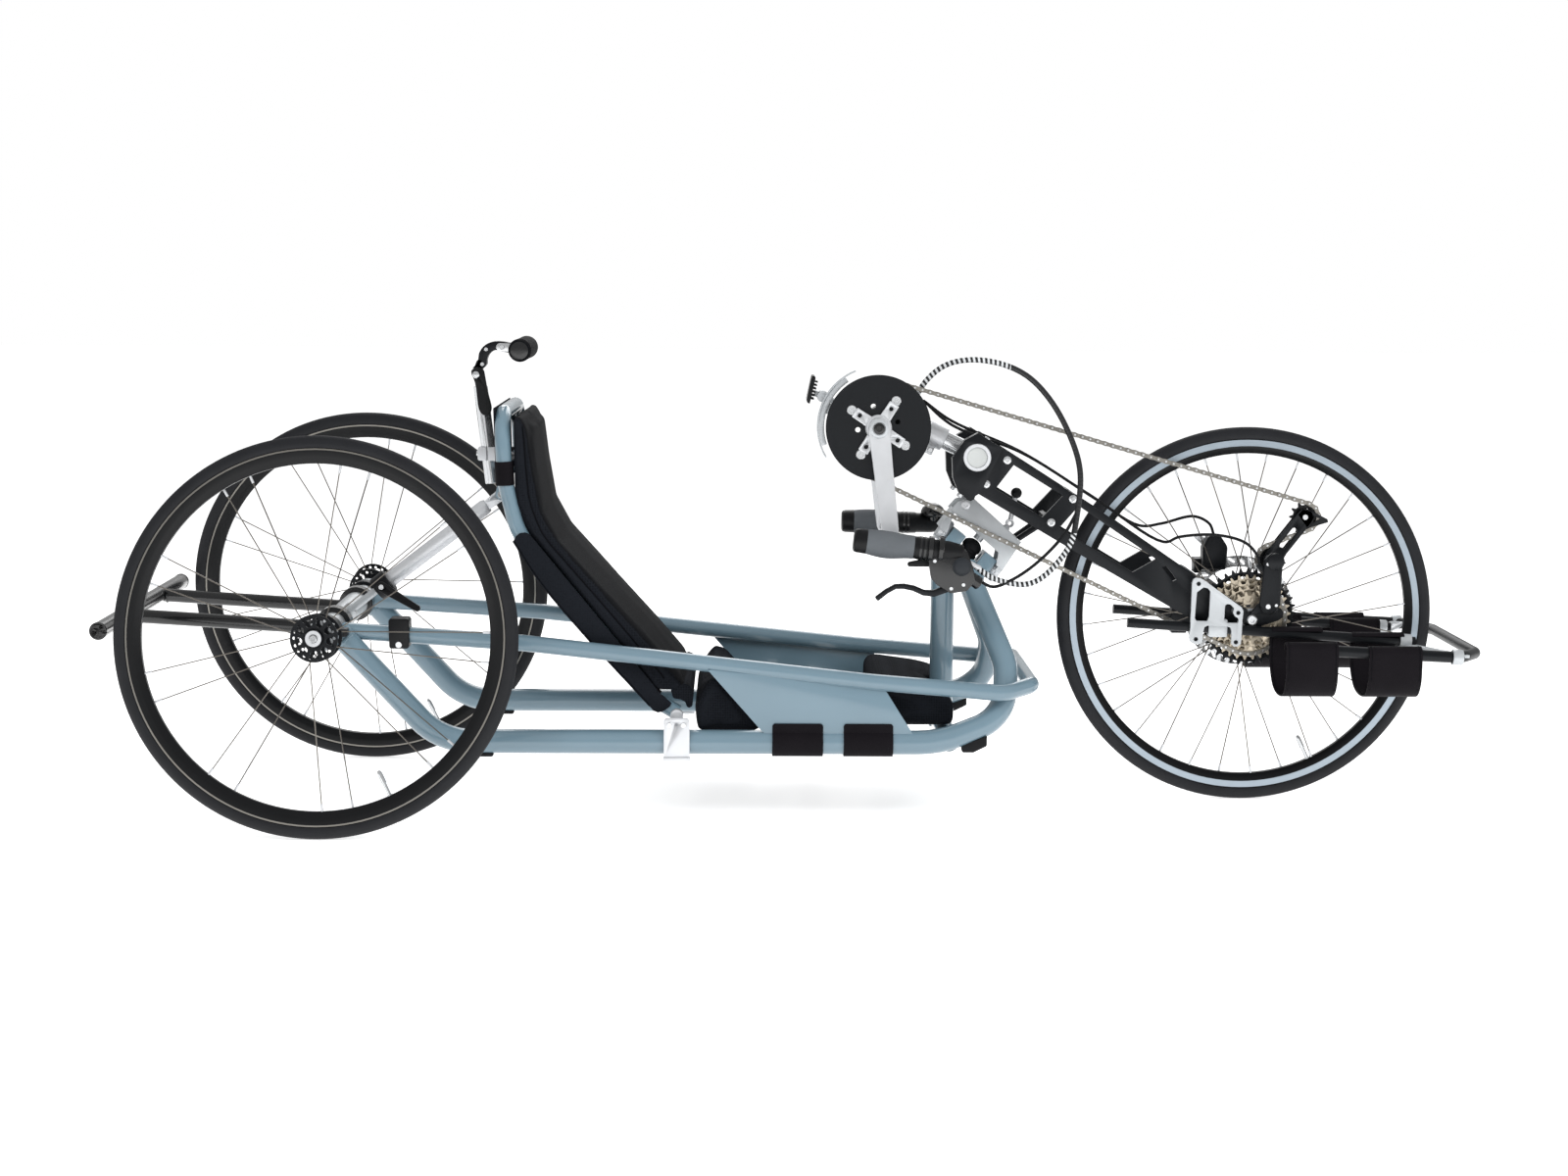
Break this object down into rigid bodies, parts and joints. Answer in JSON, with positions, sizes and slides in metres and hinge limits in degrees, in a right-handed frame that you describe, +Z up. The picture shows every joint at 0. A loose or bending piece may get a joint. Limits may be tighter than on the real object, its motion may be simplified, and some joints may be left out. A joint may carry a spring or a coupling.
{
  "type": "handcycle",
  "caption": "Low recumbent handcycle: cambered rear wheels, one driven and steered front wheel, hand cranks ahead of the chest, a reclining seat and a foot rest.",
  "frame": {"origin": "on the ground, halfway along the machine, on its middle plane", "axes": "+X forward, +Y to the rider's left, +Z up"},
  "size_m": [2.1514, 0.7158, 0.746],
  "materials": {
    "frame_paint": "gloss pale blue-grey paint",
    "black_anodised": "satin black anodised",
    "silver": "machined silver",
    "light_grey": "satin light grey",
    "rubber": "matt black",
    "tyre_rubber": "matt black tread",
    "rim_black": "gloss black",
    "seat_fabric": "black woven spacer fabric",
    "webbing": "black webbing",
    "steel": "bright steel",
    "champagne": "champagne plated",
    "plastic": "black"
  },
  "bodies": {
    "frame": {"lower_tube_right": "frame_paint", "lower_tube_left": "frame_paint", "side_rails": "frame_paint", "steering_post": "frame_paint", "steering_head": "frame_paint", "steering_damper": "rubber", "rear_axle": "silver", "rear_guard": "black_anodised", "seat_clamp_right": "silver", "seat_clamp_left": "silver", "seat_cushion": "seat_fabric", "leg_cushion": "seat_fabric", "strap_front": "webbing", "strap_rear": "webbing"},
    "rear_wheel_right": {"wheel_right": "rim_black", "tyre_right": "tyre_rubber"},
    "rear_wheel_left": {"wheel_left": "rim_black", "tyre_left": "tyre_rubber"},
    "release_button_right": {"axle_button_right": "silver"},
    "release_button_left": {"axle_button_left": "silver"},
    "seat": {"seat_frame": "frame_paint", "seat_pad": "seat_fabric", "seat_sling": "seat_fabric"},
    "seat_brace": {"brace_tube": "silver"},
    "brace_catch": {"brace_lever": "black_anodised"},
    "headrest_stalk": {"headrest_post": "silver"},
    "headrest": {"headrest_arm": "black_anodised", "headrest_roll": "seat_fabric"},
    "headrest_catch": {"headrest_lever": "black_anodised"},
    "steering_unit": {"fork_frame": "black_anodised", "steering_bracket": "light_grey", "dropout_plate_right": "silver", "dropout_plate_left": "silver", "crank_stem": "silver", "footrest": "black_anodised", "sling_rear_right": "webbing", "sling_rear_left": "webbing", "sling_front_right": "webbing", "sling_front_left": "webbing", "derailleur": "black_anodised", "chain": "steel", "control_cables": "rubber", "fork_cables": "rubber"},
    "front_wheel": {"wheel_front": "rim_black", "tyre_front": "tyre_rubber", "brake_rotor": "steel"},
    "sprockets": {"cassette": "champagne"},
    "crankset": {"chainring": "black_anodised", "crank_right": "silver", "crank_left": "silver"},
    "hand_grip_right": {"grip_right": "plastic"},
    "hand_grip_left": {"grip_left": "plastic"},
    "brake_trigger": {"brake_lever": "black_anodised"},
    "shift_trigger": {"shift_lever": "plastic"},
    "bell_trigger": {"bell_lever": "silver"},
    "parking_handle": {"parking_lever": "black_anodised"},
    "parking_arm": {"caliper_arm": "silver"},
    "cage": {"derailleur_cage": "black_anodised"},
    "guide_pulley": {"pulley_guide": "plastic"},
    "tension_pulley": {"pulley_tension": "plastic"}
  },
  "joints": [
    {"name": "rear_wheel_right_spin", "type": "hinge", "parent": "frame", "child": "rear_wheel_right", "pos_m": [-0.73474, -0.32, 0.30379], "axis": [0, 0.9962, -0.0872], "continuous": true},
    {"name": "rear_wheel_left_spin", "type": "hinge", "parent": "frame", "child": "rear_wheel_left", "pos_m": [-0.73474, 0.32, 0.30379], "axis": [0, 0.9962, 0.0872], "continuous": true},
    {"name": "release_button_right_press", "type": "slide", "parent": "rear_wheel_right", "child": "release_button_right", "axis": [0, -0.9962, 0.0872], "range_m": [-0.003, 0], "stiffness_N_per_m": 800},
    {"name": "release_button_left_press", "type": "slide", "parent": "rear_wheel_left", "child": "release_button_left", "axis": [0, 0.9962, 0.0872], "range_m": [-0.003, 0], "stiffness_N_per_m": 800},
    {"name": "steering_turn", "type": "hinge", "parent": "frame", "child": "steering_unit", "pos_m": [0.23226, 0, 0.44], "axis": [-0.7912, 0, 0.6115], "range_deg": [-25, 25], "stiffness_Nm_per_rad": 60, "deforming": ["steering_damper"]},
    {"name": "front_wheel_spin", "type": "hinge", "parent": "steering_unit", "child": "front_wheel", "pos_m": [0.72227, 0, 0.3045], "axis": [0, 1, 0], "continuous": true},
    {"name": "crank_turn", "type": "hinge", "parent": "steering_unit", "child": "crankset", "pos_m": [0.12226, 0, 0.608], "axis": [0, 1, 0], "continuous": true, "deforming": ["control_cables"]},
    {"name": "sprocket_turn", "type": "hinge", "parent": "steering_unit", "child": "sprockets", "pos_m": [0.72227, -0.046, 0.3045], "axis": [0, 1, 0], "continuous": true},
    {"name": "grip_right_turn", "type": "hinge", "parent": "crankset", "child": "hand_grip_right", "pos_m": [0.14177, -0.178, 0.437], "axis": [0, 1, 0], "continuous": true},
    {"name": "grip_left_turn", "type": "hinge", "parent": "crankset", "child": "hand_grip_left", "pos_m": [0.14177, 0.178, 0.437], "axis": [0, 1, 0], "continuous": true},
    {"name": "brake_trigger_pull", "type": "hinge", "parent": "hand_grip_right", "child": "brake_trigger", "pos_m": [0.25027, -0.178, 0.373], "axis": [0, 1, 0], "range_deg": [0, 12], "stiffness_Nm_per_rad": 2, "springref_deg": -5.73},
    {"name": "shift_trigger_push", "type": "hinge", "parent": "hand_grip_right", "child": "shift_trigger", "pos_m": [0.19726, -0.163, 0.405], "axis": [0, 1, 0], "range_deg": [-15, 0], "stiffness_Nm_per_rad": 0.5, "springref_deg": 5.73},
    {"name": "bell_trigger_push", "type": "hinge", "parent": "hand_grip_left", "child": "bell_trigger", "pos_m": [0.25127, 0.172, 0.447], "axis": [0, 0, 1], "range_deg": [0, 25], "stiffness_Nm_per_rad": 0.2, "springref_deg": -5.73},
    {"name": "parking_handle_pull", "type": "hinge", "parent": "steering_unit", "child": "parking_handle", "pos_m": [0.33189, 0, 0.44136], "axis": [0, 1, 0], "range_deg": [0, 25]},
    {"name": "parking_arm_turn", "type": "hinge", "parent": "steering_unit", "child": "parking_arm", "pos_m": [0.68127, 0.0696, 0.404], "axis": [0, 1, 0], "range_deg": [0, 20]},
    {"name": "cage_swing", "type": "hinge", "parent": "steering_unit", "child": "cage", "pos_m": [0.75626, -0.046, 0.4], "axis": [0, 1, 0], "range_deg": [-12, 25], "stiffness_Nm_per_rad": 3, "deforming": ["chain"]},
    {"name": "guide_pulley_turn", "type": "hinge", "parent": "cage", "child": "guide_pulley", "pos_m": [0.75626, -0.046, 0.4], "axis": [0, 1, 0], "continuous": true},
    {"name": "tension_pulley_turn", "type": "hinge", "parent": "cage", "child": "tension_pulley", "pos_m": [0.80827, -0.046, 0.468], "axis": [0, 1, 0], "continuous": true},
    {"name": "seat_tilt", "type": "hinge", "parent": "frame", "child": "seat", "pos_m": [-0.19473, 0, 0.166], "axis": [0, 1, 0], "range_deg": [-5, 5]},
    {"name": "brace_slide", "type": "slide", "parent": "frame", "child": "seat_brace", "axis": [0.7912, 0, 0.6116], "range_m": [-0.039, 0.039]},
    {"name": "brace_catch_flip", "type": "hinge", "parent": "seat_brace", "child": "brace_catch", "pos_m": [-0.6659, -0.084, 0.353], "axis": [0, 1, 0], "range_deg": [-70, 0]},
    {"name": "headrest_height", "type": "slide", "parent": "seat", "child": "headrest_stalk", "axis": [-0.1178, 0, 0.993], "range_m": [-0.02, 0.03]},
    {"name": "headrest_tilt", "type": "hinge", "parent": "headrest_stalk", "child": "headrest", "pos_m": [-0.51973, 0, 0.687], "axis": [0, 1, 0], "range_deg": [-20, 20]},
    {"name": "headrest_catch_flip", "type": "hinge", "parent": "headrest_stalk", "child": "headrest_catch", "pos_m": [-0.51973, -0.019, 0.687], "axis": [0, 1, 0], "range_deg": [0, 80]}
  ],
  "couplings": [
    {"joint": "sprocket_turn", "follows": "crank_turn", "ratio": 1.3103},
    {"joint": "grip_right_turn", "follows": "crank_turn", "ratio": -1},
    {"joint": "grip_left_turn", "follows": "crank_turn", "ratio": -1},
    {"joint": "guide_pulley_turn", "follows": "crank_turn", "ratio": -3.4545},
    {"joint": "tension_pulley_turn", "follows": "crank_turn", "ratio": 3.4545},
    {"joint": "brace_slide", "follows": "seat_tilt", "m_per_rad": 0.4361},
    {"joint": "parking_arm_turn", "follows": "parking_handle_pull", "ratio": 0.8}
  ]
}
